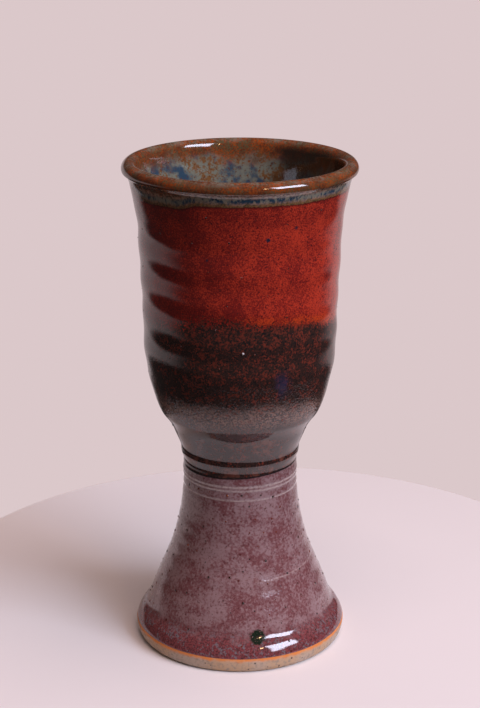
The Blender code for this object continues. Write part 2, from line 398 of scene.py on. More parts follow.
glazed_side = sunk(between(hidden_line[hidden_top:], GLAZE_LINE + 0.15, BEVEL_FOOT), CLAY_DEPTH)
shoulder = [(glazed_side[-1, 0], GLAZE_LINE - 0.05), (SHOULDER_RADIUS, GLAZE_LINE - 0.05)]
bore = smooth([(FOOT_INNER_RADIUS - FOOT_EDGE, FOOT_EDGE)] + STEM_BORE, BORE_SPACING)
pedestal_section = np.vstack(
    [(FOOT_INNER_RADIUS, 0.0), bore, (JOINT_FACE_RADIUS, PEDESTAL_TOP), glazed_side, shoulder, foot_ring()]
)
pedestal_section = np.vstack([pedestal_section, pedestal_section[:1]])
pedestal = thrown("thrown_pedestal", pedestal_section, PEDESTAL_RINGS, foot_clay_material())
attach(pedestal, "root")
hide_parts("pedestal")

# --------------------------------------------------------------------------------------------------
# The luted joint. Leather-hard clay is joined with slip brushed on the scored faces, and a coil of clay is
# pressed into the V round the outside and smoothed over before the pot is glazed.
# --------------------------------------------------------------------------------------------------

SLIP_BODY = (0.46, 0.37, 0.30)
SLIP_WARM = (0.50, 0.36, 0.26)
SLIP_GREY = (0.38, 0.33, 0.29)
CLEAR_OF_FACES = 0.3
COIL_INNER_RADIUS = 18.05
NO_RINGS = (0.0, 1.0, 1.0, 0.0)

slip_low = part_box("joint_slip")[0].z / MM
slip_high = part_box("joint_slip")[1].z / MM
slip_inner = STEM_BORE_RADIUS + CLEAR_OF_FACES
slip_outer = JOINT_FACE_RADIUS - CLEAR_OF_FACES / 2
squeezed = [(slip_outer, slip_high), (slip_outer, slip_low), (slip_inner, slip_low)]
squeezed += [(slip_inner - 0.1, (slip_low + slip_high) / 2), (slip_inner, slip_high), (slip_outer, slip_high)]
slip_clay = clay_material("dried_slip", SLIP_BODY, SLIP_WARM, SLIP_GREY, IRON_SPECK)
slip = thrown("joint_slip_ring", np.array(squeezed), NO_RINGS, slip_clay)
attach(slip, "root")
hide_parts("joint_slip")

coil_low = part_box("joint_collar")[0].z / MM
coil_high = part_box("joint_collar")[1].z / MM
coil_face = sunk(between(hidden_line[hidden_top:], coil_low, coil_high), CLAY_DEPTH)
coil_back = [(COIL_INNER_RADIUS, slip_low - 0.15), (COIL_INNER_RADIUS, slip_high + 0.15)]
coil = thrown("joint_coil", np.vstack([coil_face, coil_back, coil_face[:1]]), NO_RINGS, stoneware)
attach(coil, "root")
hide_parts("joint_collar")

# --------------------------------------------------------------------------------------------------
# The liner glaze. A rutile and cobalt glaze poured in and out of the cup: it breaks rust brown where it is
# thin by the lip and floats blue-grey, ochre and cobalt where it is thick. It is glossy and smooth.
# --------------------------------------------------------------------------------------------------

COAT_THICKNESS = 0.5
BACK_EVERY = 8  # a coat's hidden back keeps one point in this many
WELL_SPACING = 0.62  # along the well's line
GLAZE_IOR = 1.7
RIM_LINE = (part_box("liner_glaze")[1].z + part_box("rim_glaze")[0].z) / 2 / MM
WELL_RINGS = (90.0, 166.0, 8.0, 0.25)
RUST = (0.28, 0.054, 0.007)
RUST_DEEP = (0.10, 0.028, 0.011)
OLIVE = (0.090, 0.066, 0.030)
BLUE_GREY = (0.165, 0.172, 0.135)
OCHRE = (0.16, 0.075, 0.028)
COBALT = (0.030, 0.060, 0.095)
# painted shade for the inside of the right-hand wall
LINER_SHADE_BLACK = (0.014, 0.009, 0.007)


def coat_section(face):
    """A coat's outer face and, closing it, a sparser back against the clay."""
    back = sunk(face, COAT_THICKNESS)[::-1]
    kept = np.unique(np.r_[0 : len(back) : BACK_EVERY, len(back) - 1])
    section = np.vstack([face, back[kept]])
    starts_on_axis = face[0, 0] < 1e-6
    return section if starts_on_axis else np.vstack([section, face[:1]])


def times(tree, *values):
    """The product of all the values."""
    result = values[0]
    for value in values[1:]:
        result = sums(tree, "MULTIPLY", result, value)
    return result


def rim_colours(tree, where):
    """Rust brown that breaks darker and olive, as on every edge where the glaze has run thin."""
    grains = cloud(tree, where, 0.6, 11.0, detail=4.0)
    patches = sums(tree, "MULTIPLY_ADD", cloud(tree, where, 7.0, 10.0), 0.9, grains)
    colour = blend(tree, rise(tree, patches, 0.8, 1.1), RUST, RUST_DEEP)
    tufts = cloud(tree, where, 0.5, 12.0, detail=3.0)
    mossy = sums(tree, "MULTIPLY_ADD", cloud(tree, where, 4.0, 9.0), 0.5, tufts)
    return blend(tree, rise(tree, mossy, 0.70, 0.90), colour, OLIVE)


def liner_colours(tree, where, height):
    """Ochre and blue-grey curdled together, with cobalt floating in patches, thinning to rust by the lip."""
    grains = cloud(tree, where, 1.0, 18.0, detail=4.0)
    curds = sums(tree, "MULTIPLY_ADD", cloud(tree, where, 6.0, 13.0), 1.0, grains)
    colour = blend(tree, rise(tree, curds, 0.85, 1.05), OCHRE, BLUE_GREY)
    colour = blend(tree, rise(tree, cloud(tree, where, 6.0, 14.0, detail=6.0), 0.52, 0.65), colour, COBALT)
    colour = blend(tree, rise(tree, cloud(tree, where, 0.8, 15.0, detail=5.0), 0.53, 0.72), colour, RUST_DEEP)
    thin = strayed(tree, height, where, 7.0, 16.0, 12.0)
    colour = blend(tree, rise(tree, thin, 170.0, 176.5), colour, rim_colours(tree, where))
    # Painted shade: the inside of the right-hand wall, which the window doesn't reach, is painted nearly
    # black
    right = node(tree, "ShaderNodeSeparateXYZ", {0: where}).outputs["X"]
    right = strayed(tree, right, where, 6.0, 19.0, 14.0, detail=4.0)
    painted_shade = times(tree, rise(tree, right, 9.0, 17.0), rise(tree, height, 178.6, 176.4), 0.86)
    return blend(tree, painted_shade, colour, LINER_SHADE_BLACK)


def orange_peel(tree, where):
    """The glaze's own relief in millimetres: slow swells, orange peel, and pits too fine to model."""
    swell = sums(tree, "MULTIPLY", cloud(tree, where, 5.0, 21.0), 0.035)
    peel = sums(tree, "MULTIPLY_ADD", cloud(tree, where, 1.3, 22.0), 0.014, swell)
    return sums(tree, "MULTIPLY_ADD", cloud(tree, where, 0.45, 23.0), 0.006, peel)


def gloss(tree, where):
    """The roughness of a glassy glaze, slightly duller in clouds."""
    return sums(tree, "MULTIPLY_ADD", cloud(tree, where, 3.0, 17.0), 0.10, 0.02)


def liner_material():
    material, tree, shader = new_material("liner_glaze")
    where = millimetres(tree)
    height = node(tree, "ShaderNodeSeparateXYZ", {0: where}).outputs["Z"]
    colour = liner_colours(tree, where, height)
    finish_surface(tree, shader, colour, gloss(tree, where), orange_peel(tree, where))
    shader.inputs["IOR"].default_value = GLAZE_IOR
    return material


well_line = smooth(thrown_line, WELL_SPACING)
well_line = well_line[: int(well_line[:, 1].argmax()) + 1]
liner_face = np.vstack([(0.0, CUP_INSIDE[0][1]), between(well_line, CUP_INSIDE[0][1] + 0.02, RIM_LINE)])
liner = thrown("liner_coat", coat_section(liner_face), WELL_RINGS, liner_material())
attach(liner, "root")
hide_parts("liner_glaze")

# --------------------------------------------------------------------------------------------------
# The outer glazes, dipped one by one: iron red over the cup, a blue rim glaze over its top edge, brown-black
# on the belly and neck, plum on the pedestal. They overlap and run, so each fired line wavers from coat to
# coat, and every coat carries the colours of its neighbours past its own edge.
# --------------------------------------------------------------------------------------------------

LINE_SPACING = 0.36  # along the outer line, finest of all
BELLY_LINE = (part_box("red_glaze")[0].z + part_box("dark_glaze")[1].z) / 2 / MM
NECK_LINE = (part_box("dark_glaze")[0].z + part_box("pedestal_glaze")[1].z) / 2 / MM
COATS = [
    # name, node and slot, lowest and highest point, rings
    ("red_coat", "red_glaze", BELLY_LINE, RIM_LINE, CUP_RINGS),
    ("dark_coat", "dark_glaze", NECK_LINE, BELLY_LINE, CUP_RINGS),
    ("plum_coat", "pedestal_glaze", GLAZE_LINE, NECK_LINE, PEDESTAL_RINGS),
]

RED_TOP = 171.6
RED_DRIP = 2.0  # the rim glaze ran down this much on the left
DRIP_DIRECTION = (-0.73, -0.68, 0.0)
RED_FOOT = 130.2  # at the front, falling away by up to RED_FALL behind
RED_FALL = 11.0
DARK_FOOT = 68.2
DARK_TILT = 1.1
SCRATCH_PITCH = 8.5  # a spiral scratch from the last trimming climbs the pedestal
SCRATCH_START = 6.7
GREEN_SPOT = (6.4, -34.1, 12.3)
GREEN_SPOT_RADIUS = 2.9
MID_WALL_RADIUS = 37.2  # of the cup's wall just under the bead

TEAL = (0.30, 0.27, 0.21)
SEA_BLUE = (0.022, 0.06, 0.10)
VEIL_AND_REFLECTION = (0.52, 0.27, 0.18)
OCHRE_FRINGE = (0.26, 0.115, 0.045)
RED_EDGE = (0.10, 0.01, 0.008)
IRON_RED = (0.20, 0.012, 0.010)
ORANGE_RED = (0.52, 0.042, 0.019)
BORDER_ORANGE = (0.60, 0.062, 0.010)
RED_SPECK = (0.07, 0.008, 0.010)
INK_DOT = (0.02, 0.018, 0.035)
BROWN_BLACK = (0.034, 0.016, 0.013)
EMBER = (0.16, 0.030, 0.018)
BLACK = (0.010, 0.009, 0.010)
COBALT_STAIN = (0.03, 0.028, 0.075)
NECK_RUST = (0.14, 0.045, 0.03)
BELLY_GREY_AND_REFLECTION = (0.27, 0.14, 0.105)
PLUM = (0.165, 0.060, 0.064)
PLUM_GREY = (0.28, 0.175, 0.18)
PLUM_DEEP = (0.085, 0.022, 0.023)
RUST_SPOT = (0.075, 0.012, 0.008)
DARK_GREEN = (0.010, 0.018, 0.010)
FOOT_GREY = (0.15, 0.125, 0.14)
FOOT_RED = (0.19, 0.046, 0.050)
FOOT_DARK = (0.075, 0.026, 0.028)
PALE_BREAK = (0.42, 0.31, 0.29)


def out_from_axis(tree, where):
    """The way out from the axis to a place, with no height in it."""
    return node(tree, "ShaderNodeVectorMath", {0: where, 1: (1.0, 1.0, 0.0)}, operation="MULTIPLY").outputs[0]


def squashed(tree, where, amount):
    """Places squeezed in height, so that a pattern on them is stretched up and down by 1 / amount."""
    inputs = {0: where, 1: (1.0, 1.0, amount)}
    return node(tree, "ShaderNodeVectorMath", inputs, operation="MULTIPLY").outputs[0]


def band(tree, height, middle, half_width):
    """1 at the middle height, falling to 0 at half_width from it."""
    away = sums(tree, "ABSOLUTE", sums(tree, "SUBTRACT", height, middle))
    return rise(tree, away, half_width, 0.0)


def rim_look(tree, where, above):
    """Outside the lip, by height above the red: an ochre fringe, a sea-blue line of pools, a pale veil that
    is partly painted reflection, then rust.
    """
    streaks = cloud(tree, squashed(tree, where, 0.3), 0.9, 31.0, detail=4.0)
    # Partly a thin veil of glaze and partly painted reflection: the pale pink under the bead stands in for
    # the room mirrored there
    veil_and_reflection = blend(tree, rise(tree, cloud(tree, where, 1.0, 32.0, detail=4.0), 0.4, 0.65), VEIL_AND_REFLECTION, OLIVE)
    lifted = sums(tree, "MULTIPLY_ADD", streaks, 1.8, sums(tree, "SUBTRACT", above, 0.9))
    colour = blend(tree, rise(tree, lifted, 3.4, 5.2), veil_and_reflection, rim_colours(tree, where))
    pools = sums(tree, "MULTIPLY_ADD", cloud(tree, where, 5.0, 33.0), 0.8, streaks)
    pooled = blend(tree, rise(tree, pools, 0.80, 0.98), TEAL, SEA_BLUE)
    colour = blend(tree, band(tree, lifted, 2.3, 1.9), colour, pooled)
    mottled = rise(tree, cloud(tree, where, 0.6, 36.0, detail=3.0), 0.42, 0.62)
    fringe = blend(tree, mottled, OCHRE_FRINGE, OLIVE)
    return blend(tree, rise(tree, lifted, 1.5, 0.4), colour, fringe)


def red_look(tree, where, above, right):
    """Iron red: orange-red grains, an orange glow along its foot, dark specks and a few ink-blue dots."""
    grains = cloud(tree, where, 0.4, 41.0, detail=3.0)
    grains = sums(tree, "MULTIPLY_ADD", cloud(tree, where, 8.0, 40.0), 0.5, grains)
    # Partly the glaze and partly painted light: the red is painted more orange towards the right, where the
    # window lights it
    grains_and_painted_light = sums(tree, "MULTIPLY_ADD", right, 0.09, grains)
    colour = blend(tree, rise(tree, grains_and_painted_light, 0.66, 0.9), IRON_RED, ORANGE_RED)
    glow = times(tree, band(tree, above, 1.0, 3.2), rise(tree, grains, 0.6, 0.95))
    glow = times(tree, glow, rise(tree, right, -0.5, 0.5))
    colour = blend(tree, glow, colour, BORDER_ORANGE)
    colour = blend(tree, rise(tree, cloud(tree, where, 0.5, 42.0, detail=3.0), 0.54, 0.68), colour, RED_SPECK)
    colour = blend(tree, dots(tree, where, 1.4, 0.42, 0.2, 43.0), colour, RED_SPECK)
    return blend(tree, dots(tree, where, 9.0, 1.0, 0.4, 44.0), colour, INK_DOT)


def dark_look(tree, where, height, right):
    """Brown-black: ember grains, black blotches, grey crystals low on the belly that are partly painted
    reflection, and one cobalt stain.
    """
    fading = sums(tree, "MULTIPLY_ADD", rise(tree, height, 88.0, 130.0), -0.06, 0.57)
    grains = cloud(tree, where, 0.7, 51.0, detail=5.0)
    grains = sums(tree, "MULTIPLY_ADD", cloud(tree, where, 2.6, 50.0), 0.7, grains)
    embers = rise(tree, sums(tree, "SUBTRACT", grains, fading), 0.28, 0.5)
    colour = blend(tree, embers, BROWN_BLACK, EMBER)
    colour = blend(tree, rise(tree, cloud(tree, where, 0.8, 52.0, detail=4.0), 0.5, 0.66), colour, BLACK)
    # Partly grey crystals and partly painted reflection: the grey band where the belly turns under stands in
    # for the table mirrored there
    frost_and_reflection_band = band(tree, strayed(tree, height, where, 9.0, 57.0, 9.0), 94.0, 7.5)
    frost_and_painted_reflection = times(tree, frost_and_reflection_band, rise(tree, cloud(tree, where, 0.6, 56.0, detail=4.0), 0.4, 0.62))
    colour = blend(tree, sums(tree, "MULTIPLY", frost_and_painted_reflection, 0.9), colour, BELLY_GREY_AND_REFLECTION)
    rusty = times(tree, rise(tree, height, 92.0, 84.0), rise(tree, cloud(tree, where, 3.5, 53.0), 0.5, 0.68))
    colour = blend(tree, rusty, colour, NECK_RUST)
    smear = strayed(tree, right, where, 2.5, 54.0, 8.0, detail=4.0)
    stain = times(tree, band(tree, height, 107.0, 7.0), band(tree, smear, 14.9, 3.5), 0.62)
    return blend(tree, stain, colour, COBALT_STAIN)


def plum_look(tree, where, height, turn, right):
    """Plum with a pale grey bloom, rust spots burnt through it, and breaking pale on the turned grooves."""
    bloom = cloud(tree, where, 7.0, 61.0, detail=5.0)
    bloom = sums(tree, "MULTIPLY_ADD", bloom, 1.2, cloud(tree, where, 1.0, 62.0))
    colour = blend(tree, rise(tree, bloom, 0.9, 1.3), PLUM, PLUM_GREY)
    colour = blend(tree, rise(tree, cloud(tree, where, 0.9, 60.0, detail=5.0), 0.5, 0.72), colour, PLUM_GREY)
    deep = times(tree, rise(tree, cloud(tree, where, 0.8, 63.0, detail=5.0), 0.52, 0.74), 0.85)
    colour = blend(tree, deep, colour, PLUM_DEEP)
    grooves = 0.0
    for groove, width in ((64.8, 0.95), (63.4, 0.8), (59.6, 0.55)):
        grooves = sums(tree, "MAXIMUM", band(tree, height, groove, width), grooves)
    climb = sums(tree, "MULTIPLY_ADD", turn, -SCRATCH_PITCH, sums(tree, "SUBTRACT", height, SCRATCH_START))
    spiral = sums(tree, "PINGPONG", climb, SCRATCH_PITCH / 2)
    from_where = sums(tree, "MULTIPLY_ADD", height, -0.065, sums(tree, "ADD", right, 1.715))
    scratched = times(tree, rise(tree, spiral, 0.4, 0.1), rise(tree, from_where, -0.05, 0.05))
    scratched = times(tree, scratched, rise(tree, height, 23.0, 26.0))
    broken = sums(tree, "MAXIMUM", grooves, times(tree, scratched, 0.6))
    broken = times(tree, broken, rise(tree, cloud(tree, where, 0.9, 65.0), 0.25, 0.6), 0.85)
    colour = blend(tree, broken, colour, PALE_BREAK)
    foot = strayed(tree, height, where, 3.0, 66.0, 9.0)
    speckles = rise(tree, cloud(tree, where, 0.6, 69.0, detail=4.0), 0.42, 0.62)
    speckled = blend(tree, speckles, FOOT_RED, FOOT_DARK)
    flecks = cloud(tree, where, 0.8, 67.0, detail=6.0)
    flecks = sums(tree, "MULTIPLY_ADD", cloud(tree, where, 3.0, 58.0), 0.6, flecks)
    speckled = blend(tree, rise(tree, flecks, 0.82, 0.98), speckled, FOOT_GREY)
    colour = blend(tree, rise(tree, foot, 16.0, 9.5), colour, speckled)
    colour = blend(tree, dots(tree, where, 4.6, 0.85, 0.4, 68.0), colour, RUST_SPOT)
    from_spot = node(tree, "ShaderNodeVectorMath", {0: where, 1: GREEN_SPOT}, operation="DISTANCE").outputs[1]
    from_spot = sums(tree, "MULTIPLY_ADD", cloud(tree, where, 2.0, 59.0, detail=5.0), 4.0, from_spot)
    green = rise(tree, from_spot, GREEN_SPOT_RADIUS + 2.4, GREEN_SPOT_RADIUS + 1.2)
    green = times(tree, green, rise(tree, cloud(tree, where, 0.9, 76.0, detail=3.0), 0.72, 0.54))
    return blend(tree, green, colour, DARK_GREEN)


def fired_glazes_group():
    """Every outer glaze in its place, so that the fired lines run on unbroken over the edges of the coats."""
    tree = bpy.data.node_groups.new("fired_glazes", "ShaderNodeTree")
    tree.interface.new_socket("Colour", in_out="OUTPUT", socket_type="NodeSocketColor")
    tree.interface.new_socket("Roughness", in_out="OUTPUT", socket_type="NodeSocketFloat")
    tree.interface.new_socket("Relief", in_out="OUTPUT", socket_type="NodeSocketFloat")
    where = millimetres(tree)
    place = node(tree, "ShaderNodeSeparateXYZ", {0: where}).outputs
    height = place["Z"]
    outward = out_from_axis(tree, where)
    outward = node(tree, "ShaderNodeVectorMath", {0: outward}, operation="NORMALIZE").outputs[0]
    facing = node(tree, "ShaderNodeSeparateXYZ", {0: outward}).outputs
    right = facing["X"]
    behind = sums(tree, "ADD", facing["Y"], 1.0)
    turn = sums(tree, "DIVIDE", sums(tree, "ARCTAN2", place["Y"], place["X"]), math.tau)
    waver = sums(tree, "SUBTRACT", cloud(tree, where, 11.0, 71.0), 0.5)
    frayed = sums(tree, "SUBTRACT", cloud(tree, where, 0.7, 72.0), 0.5)

    # How far above each fired line this point is
    inputs = {0: outward, 1: DRIP_DIRECTION}
    towards_drip = node(tree, "ShaderNodeVectorMath", inputs, operation="DOT_PRODUCT").outputs[1]
    drip = rise(tree, towards_drip, 0.9, 0.98)
    above_red = sums(tree, "MULTIPLY_ADD", drip, RED_DRIP, sums(tree, "SUBTRACT", height, RED_TOP))
    above_red = sums(tree, "MULTIPLY_ADD", waver, 1.4, above_red)
    above_red = sums(tree, "MULTIPLY_ADD", frayed, 0.9, above_red)
    fall = sums(tree, "DIVIDE", sums(tree, "MULTIPLY", behind, RED_FALL), sums(tree, "ADD", behind, 1.0))
    above_dark = sums(tree, "ADD", sums(tree, "SUBTRACT", height, RED_FOOT), fall)
    above_dark = sums(tree, "MULTIPLY_ADD", waver, 5.0, above_dark)
    above_plum = sums(tree, "MULTIPLY_ADD", right, -DARK_TILT, sums(tree, "SUBTRACT", height, DARK_FOOT))
    above_plum = sums(tree, "MULTIPLY_ADD", waver, 1.0, above_plum)

    red = red_look(tree, where, above_dark, right)
    red = blend(tree, rise(tree, above_red, -0.9, 0.0), red, RED_EDGE)
    dark = dark_look(tree, where, height, place["X"])
    dark = blend(tree, rise(tree, above_plum, 0.9, 0.1), dark, BLACK)
    plum = plum_look(tree, where, height, turn, right)
    # The red meets the brown-black sharply on the right, where it was dipped, and grain by grain on the left
    left_blur = sums(tree, "MULTIPLY_ADD", rise(tree, right, 0.6, -0.4), 16.0, 6.0)
    into_red = sums(tree, "MULTIPLY_ADD", frayed, left_blur, above_dark)
    colour = blend(tree, rise(tree, above_plum, -0.25, 0.15), plum, dark)
    colour = blend(tree, rise(tree, into_red, -1.8, 1.8), colour, red)
    colour = blend(tree, rise(tree, above_red, -0.1, 0.2), colour, rim_look(tree, where, above_red))

    on_plum = times(tree, rise(tree, above_plum, 0.0, -2.0), rise(tree, height, 10.0, 18.0))
    roughness = sums(tree, "MULTIPLY_ADD", on_plum, 0.05, gloss(tree, where))
    # The belly is crusted with crystals, and the plum is finely pebbled
    crusted = times(tree, rise(tree, height, 122.0, 100.0), rise(tree, height, 85.0, 91.0))
    crust = times(tree, crusted, cloud(tree, where, 0.8, 74.0, detail=4.0))
    relief = sums(tree, "MULTIPLY_ADD", crust, -0.14, orange_peel(tree, where))
    pebbled = times(tree, on_plum, cloud(tree, where, 0.7, 75.0, detail=3.0))
    relief = sums(tree, "MULTIPLY_ADD", pebbled, 0.07, relief)
    node(tree, "NodeGroupOutput", {"Colour": colour, "Roughness": roughness, "Relief": relief})
    return tree


fired_glazes = fired_glazes_group()


def outer_glaze(name):
    material, tree, shader = new_material(name)
    fired = node(tree, "ShaderNodeGroup", {}, node_tree=fired_glazes).outputs
    finish_surface(tree, shader, fired["Colour"], fired["Roughness"], fired["Relief"])
    shader.inputs["IOR"].default_value = GLAZE_IOR
    return material


def rim_glaze():
    """The outer glazes, turning into the liner's colours over the top of the lip."""
    material = outer_glaze("rim_glaze")
    tree = material.node_tree
    shader = tree.nodes["Principled BSDF"]
    where = millimetres(tree)
    height = node(tree, "ShaderNodeSeparateXYZ", {0: where}).outputs["Z"]
    outward = out_from_axis(tree, where)
    radius = node(tree, "ShaderNodeVectorMath", {0: outward}, operation="LENGTH").outputs[1]
    # The two looks meet along the top of the bead and, below it, inside the wall where nothing shows
    over = sums(tree, "MULTIPLY", rise(tree, height, 176.0, 178.5), BEAD_CENTRE_RADIUS - MID_WALL_RADIUS)
    from_middle = sums(tree, "SUBTRACT", sums(tree, "SUBTRACT", radius, MID_WALL_RADIUS), over)
    inward = rise(tree, from_middle, 0.4, -0.4)
    outer = shader.inputs["Base Color"].links[0].from_socket
    colour = blend(tree, inward, outer, liner_colours(tree, where, height))
    # Blue-grey along the very top of the bead, in some places more than in others: partly the glaze breaking,
    # partly painted reflection of the room above
    breaks_and_reflection = cloud(tree, where, 0.8, 34.0, detail=4.0)
    breaks_and_reflection = sums(tree, "MULTIPLY_ADD", cloud(tree, where, 9.0, 35.0), 0.8, breaks_and_reflection)
    top = rise(tree, height, BEAD_CENTRE_HEIGHT + 1.0, LIP_TOP)
    crest_and_reflection = times(tree, top, rise(tree, breaks_and_reflection, 0.80, 1.15), 0.75)
    colour = blend(tree, crest_and_reflection, colour, BLUE_GREY)
    tree.links.new(colour, shader.inputs["Base Color"])
    return material


glazed_line = smooth(thrown_line, LINE_SPACING)
glazed_top = int(glazed_line[:, 1].argmax())
up_inside = between(glazed_line[: glazed_top + 1], RIM_LINE, LIP_TOP)
down_outside = between(glazed_line[glazed_top:], RIM_LINE, LIP_TOP)
over_the_lip = np.vstack([up_inside, down_outside[1:]])
rim = thrown("rim_coat", coat_section(over_the_lip), CUP_RINGS, rim_glaze())
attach(rim, "root")
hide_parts("rim_glaze")

for name, glaze, low, high, rings in COATS:
    face = between(glazed_line[glazed_top:], low, high)
    coat = thrown(name, coat_section(face), rings, outer_glaze(glaze))
    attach(coat, "root")
    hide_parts(glaze)

# --------------------------------------------------------------------------------------------------
# The iron spots. Grains of iron in the clay melt in the firing and bleed up through the glaze as small glassy
# rust-black domes, thickest on the pedestal; one blister at the front of the dark band is painted white,
# partly as a painted highlight.
# --------------------------------------------------------------------------------------------------

SPOT_GROUPS = [
    # name, slot, lowest and highest point, rings, least distance apart, least and greatest radius, seed
    ("cup_iron_spots", "red_glaze", BELLY_LINE, 168.0, CUP_RINGS, 11.0, 0.12, 0.36, 3),
    ("belly_iron_spots", "dark_glaze", 80.0, BELLY_LINE, CUP_RINGS, 8.0, 0.12, 0.34, 5),
    ("pedestal_iron_spots", "pedestal_glaze", 9.0, 62.0, PEDESTAL_RINGS, 5.0, 0.16, 0.55, 8),
]
SPOT_FLATNESS = 0.45
SPOT_LINE_SPACING = 4.0
SPOT_IRON = (0.045, 0.012, 0.007)
SPOT_EMBER = (0.15, 0.024, 0.008)
BLISTER_TURN = 1.7  # degrees to the right of the front
BLISTER_HEIGHT = 119.9
BLISTER_RADIUS = 0.42
BLISTER_RISE = 0.36
BLISTER_ROOT = 0.5
BLISTER_FACETS = 16
UNMARKED = {"Ripple": 0.0, "Out Of Round": 0.0}  # by the wheel
BLISTER_GLINT_WHITE = (0.62, 0.60, 0.62)


def iron_spots_tree():
    """Scatters flattened domes over a surface, each lying on it and none nearer another than the spacing."""
    tree = bpy.data.node_groups.new("iron_spots", "GeometryNodeTree")
    ask(tree, "Geometry", "Surface")
    ask(tree, "Float", "Spacing", 6.0 * MM)
    ask(tree, "Float", "Smallest", 0.1 * MM)
    ask(tree, "Float", "Largest", 0.4 * MM)
    ask(tree, "Float", "Flatness", SPOT_FLATNESS)
    ask(tree, "Int", "Seed", 1)
    ask(tree, "Material", "Material")
    tree.interface.new_socket("Spots", in_out="OUTPUT", socket_type="NodeSocketGeometry")
    given = tree.nodes.new("NodeGroupInput").outputs

    inputs = {"Mesh": given["Surface"], "Distance Min": given["Spacing"], "Seed": given["Seed"]}
    inputs["Density Max"] = 1e6
    spread = node(tree, "GeometryNodeDistributePointsOnFaces", inputs, distribute_method="POISSON").outputs
    # Most spots are small: the chance is squared before it sets the size
    inputs = {"Seed": given["Seed"]}
    chance = node(tree, "FunctionNodeRandomValue", inputs, data_type="FLOAT").outputs["Value"]
    span = sums(tree, "SUBTRACT", given["Largest"], given["Smallest"])
    size = sums(tree, "MULTIPLY_ADD", sums(tree, "MULTIPLY", chance, chance), span, given["Smallest"])
    flat = sums(tree, "MULTIPLY", size, given["Flatness"])
    shape = node(tree, "ShaderNodeCombineXYZ", {"X": size, "Y": size, "Z": flat}).outputs[0]
    dome = node(tree, "GeometryNodeMeshUVSphere", {"Segments": 8, "Rings": 6, "Radius": 1.0}).outputs["Mesh"]
    inputs = {"Points": spread["Points"], "Instance": dome, "Rotation": spread["Rotation"], "Scale": shape}
    spots = node(tree, "GeometryNodeInstanceOnPoints", inputs)
    spots = node(tree, "GeometryNodeRealizeInstances", {0: spots.outputs[0]})
    spots = node(tree, "GeometryNodeSetShadeSmooth", {0: spots.outputs[0]})
    spots = node(tree, "GeometryNodeSetMaterial", {0: spots.outputs[0], "Material": given["Material"]})
    node(tree, "NodeGroupOutput", {0: spots.outputs[0]})
    return tree


def iron_glass():
    """Melted iron: dark and glassy, with an ember-brown edge on some of the spots."""
    material, tree, shader = new_material("iron_spot")
    where = millimetres(tree)
    colour = blend(tree, rise(tree, cloud(tree, where, 9.0, 91.0), 0.45, 0.6), SPOT_IRON, SPOT_EMBER)
    wrinkles = sums(tree, "MULTIPLY", cloud(tree, where, 0.2, 92.0), 0.01)
    finish_surface(tree, shader, colour, gloss(tree, where), wrinkles)
    shader.inputs["IOR"].default_value = GLAZE_IOR
    return material


def blister_glaze():
    """The skin of a blister, painted white: partly its own colour and partly a painted highlight."""
    material, tree, shader = new_material("blister")
    where = millimetres(tree)
    colour = blend(tree, cloud(tree, where, 0.5, 93.0), BLISTER_GLINT_WHITE, tuple(0.8 * c for c in BLISTER_GLINT_WHITE))
    wrinkles = sums(tree, "MULTIPLY", cloud(tree, where, 0.2, 94.0), 0.01)
    finish_surface(tree, shader, colour, gloss(tree, where), wrinkles)
    shader.inputs["IOR"].default_value = GLAZE_IOR
    return material


iron_spots = iron_spots_tree()
melted_iron = iron_glass()
for name, slot, low, high, rings, spacing, smallest, largest, seed in SPOT_GROUPS:
    face = between(glazed_line[glazed_top:], low, high)
    kept = face[:: round(SPOT_LINE_SPACING / LINE_SPACING)]
    under = thrown(name + "_surface", kept, rings, None)
    surface = under.data
    bpy.data.objects.remove(under)
    sizes = {"Spacing": spacing * MM, "Smallest": smallest * MM, "Largest": largest * MM}
    spots = made_plain(iron_spots, name, surface, Seed=seed, Material=melted_iron, **sizes)
    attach(spots, "root")

quarter = np.radians(np.arange(90, -1, -15))
dome = np.column_stack([BLISTER_RADIUS * np.cos(quarter), BLISTER_RISE * np.sin(quarter)])
dome = np.vstack([dome, (BLISTER_RADIUS, -BLISTER_ROOT), (0.0, -BLISTER_ROOT)])
dome[0, 0] = 0.0
plain_dome = {**UNMARKED, "Facets Round": BLISTER_FACETS}
blister = thrown("glaze_blister", dome, NO_RINGS, blister_glaze(), **plain_dome)
below_lip = glazed_line[glazed_top:][::-1]
out_to = np.interp(BLISTER_HEIGHT, below_lip[:, 1], below_lip[:, 0])
tipped = Matrix.Rotation(math.radians(90), 4, "X")
in_front = Matrix.Translation((0, -out_to * MM, BLISTER_HEIGHT * MM))
blister.data.transform(Matrix.Rotation(math.radians(BLISTER_TURN), 4, "Z") @ in_front @ tipped)
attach(blister, "root")

# --------------------------------------------------------------------------------------------------
# The studio. The pot stands on a small round white table in front of a plain pale wall. A window on the right
# lights it, with soft light from the ceiling and a small warm lamp; the room on the camera's side is dark.
# --------------------------------------------------------------------------------------------------

